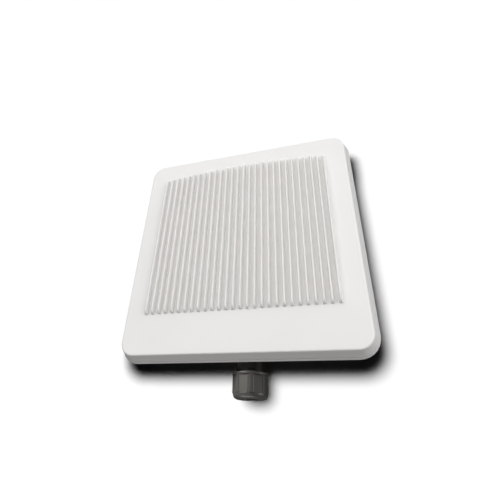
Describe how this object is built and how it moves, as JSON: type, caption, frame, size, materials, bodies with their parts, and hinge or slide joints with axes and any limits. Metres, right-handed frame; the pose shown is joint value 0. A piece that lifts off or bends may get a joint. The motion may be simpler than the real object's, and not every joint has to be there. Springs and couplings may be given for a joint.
{
  "type": "outdoor panel antenna",
  "caption": "Flat square outdoor panel antenna unit with a ridged cover, a flared lip and a cable gland on one edge.",
  "frame": {"origin": "centre of the flat rear face, midway between the four bracket inserts", "axes": "+Z out of the ridged front face, -Y towards the edge with the cable gland, +X to the right when looking at the front with the gland down"},
  "size_m": [0.2512, 0.2814, 0.053],
  "materials": {
    "cover_plastic": "UV-stable moulded plastic, warm white, fine satin grain",
    "housing_plastic": "moulded plastic, off-white, fine grain",
    "gland_nylon": "dark grey moulded nylon, satin",
    "rubber_black": "black rubber",
    "steel": "stainless or plated steel",
    "brass": "turned brass",
    "aluminium": "plain aluminium sheet",
    "copper_finish": "copper",
    "gold_finish": "gold-plated brass",
    "nylon_white": "natural nylon",
    "cable_black": "cable jacket",
    "board_green": "green solder mask on glass laminate",
    "chip_black": "black moulded package",
    "pad_grey": "silicone thermal pad",
    "ferrite": "ferrite",
    "capacitor_sleeve": "sleeved aluminium can",
    "ceramic_white": "ceramic",
    "button_red": "red moulded plastic",
    "claw_grey": "grey moulded nylon",
    "vent_black": "black moulded plastic",
    "membrane_white": "porous white membrane"
  },
  "bodies": {
    "housing": {"front_cover": "cover_plastic", "rear_housing": "housing_plastic", "cover_gasket": "rubber_black", "cover_screws": "steel", "mount_inserts": "brass", "reflector_plate": "aluminium", "reflector_standoffs": "steel", "reflector_screws": "steel", "patch_elements": "copper_finish", "patch_spacers": "nylon_white", "coax_pigtails": "cable_black", "rf_connectors": "gold_finish", "main_board": "board_green", "board_screws": "steel", "shield_cans": "steel", "radio_chips": "chip_black", "processor": "chip_black", "thermal_pad": "pad_grey", "heat_sink": "aluminium", "memory_chips": "chip_black", "network_jack": "steel", "jack_contacts": "gold_finish", "network_transformer": "chip_black", "poe_transformer_core": "ferrite", "poe_transformer_coil": "copper_finish", "capacitors": "capacitor_sleeve", "inductors": "ferrite", "surge_arresters": "ceramic_white", "reset_switch": "chip_black", "gland_body": "gland_nylon", "gland_washer": "rubber_black", "gland_locknut": "gland_nylon", "gland_seal": "rubber_black", "vent_body": "vent_black", "vent_membrane": "membrane_white", "vent_seal": "rubber_black", "ground_screw": "steel", "ground_washer": "steel", "ground_insert": "brass"},
    "claw": {"gland_claw": "claw_grey"},
    "nut": {"gland_nut": "gland_nylon"},
    "button": {"reset_button": "button_red"}
  },
  "joints": [
    {"name": "gland_claw_slide", "type": "slide", "parent": "housing", "child": "claw", "axis": [0, -1, 0], "range_m": [0, 0.0075]},
    {"name": "gland_nut_turn", "type": "hinge", "parent": "claw", "child": "nut", "pos_m": [0.0068, -0.144, 0.018], "axis": [0, -1, 0], "range_deg": [0, 1800]},
    {"name": "reset_button_press", "type": "slide", "parent": "housing", "child": "button", "axis": [0, 0, -1], "range_m": [0, 0.00025]}
  ],
  "couplings": [
    {"joint": "gland_claw_slide", "follows": "gland_nut_turn", "m_per_rad": 0.00023873}
  ]
}
